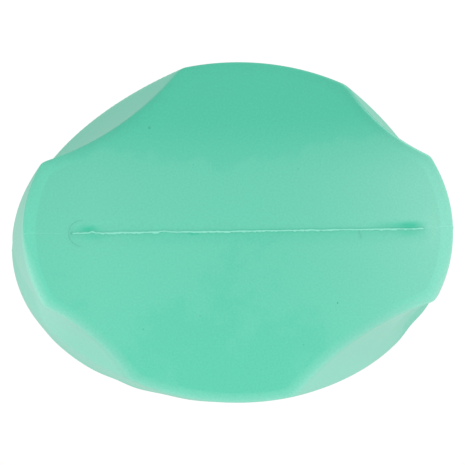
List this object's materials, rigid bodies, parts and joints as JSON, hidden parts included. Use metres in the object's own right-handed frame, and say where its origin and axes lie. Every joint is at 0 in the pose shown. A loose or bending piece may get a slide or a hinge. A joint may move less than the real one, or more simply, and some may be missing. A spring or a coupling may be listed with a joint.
{
  "type": "pipette filler",
  "caption": "Soft oval squeeze bulb with swept finger flutes and a flat end, carrying a valve head with push buttons and a socket for a pipette.",
  "frame": {"origin": "middle of the bulb's flat end, on the surface it stands on", "axes": "+Z along the bulb towards the pipette socket, -Y towards the buttons, X across the wide side of the oval"},
  "size_m": [0.0674, 0.0474, 0.1512],
  "materials": {
    "bulb_vinyl": "satin blow-moulded soft vinyl, sea green",
    "white_plastic": "fine-textured white polypropylene",
    "grey_plastic": "fine-textured light grey polypropylene",
    "button_plastic": "semi-gloss dark grey plastic with raised marks",
    "guide_plastic": "turned acetal",
    "seal_rubber": "black elastomer",
    "silicone": "milky silicone",
    "filter_membrane": "white porous membrane",
    "stem_steel": "turned stainless steel",
    "spring_steel": "drawn stainless wire",
    "screw_steel": "stainless pan-head screws"
  },
  "bodies": {
    "filler": {"squeeze_bulb": "bulb_vinyl", "neck_seal": "seal_rubber", "neck_collar": "grey_plastic", "valve_body": "white_plastic", "cover_gasket": "seal_rubber", "rear_cover": "white_plastic", "cover_screws": "screw_steel", "filter_disc": "filter_membrane", "pipette_adapter": "silicone", "nose_cone": "grey_plastic", "air_guide": "guide_plastic", "air_stem_seal": "seal_rubber", "air_spring": "spring_steel", "suction_guide": "guide_plastic", "suction_stem_seal": "seal_rubber", "suction_spring": "spring_steel", "empty_guide": "guide_plastic", "empty_stem_seal": "seal_rubber", "empty_spring": "spring_steel"},
    "air_valve": {"air_button": "button_plastic", "air_stem": "stem_steel", "air_poppet_seal": "seal_rubber"},
    "suction_valve": {"suction_button": "button_plastic", "suction_stem": "stem_steel", "suction_poppet_seal": "seal_rubber"},
    "empty_valve": {"empty_button": "button_plastic", "empty_stem": "stem_steel", "empty_poppet_seal": "seal_rubber"}
  },
  "joints": [
    {"name": "air_press", "type": "slide", "parent": "filler", "child": "air_valve", "axis": [0, 1, 0], "range_m": [0, 0.003], "stiffness_N_per_m": 300, "springref_m": -0.003, "deforming": ["air_spring"]},
    {"name": "suction_press", "type": "slide", "parent": "filler", "child": "suction_valve", "axis": [0, 1, 0], "range_m": [0, 0.003], "stiffness_N_per_m": 300, "springref_m": -0.003, "deforming": ["suction_spring"]},
    {"name": "empty_press", "type": "slide", "parent": "filler", "child": "empty_valve", "axis": [0, 1, 0], "range_m": [0, 0.003], "stiffness_N_per_m": 300, "springref_m": -0.003, "deforming": ["empty_spring"]}
  ]
}
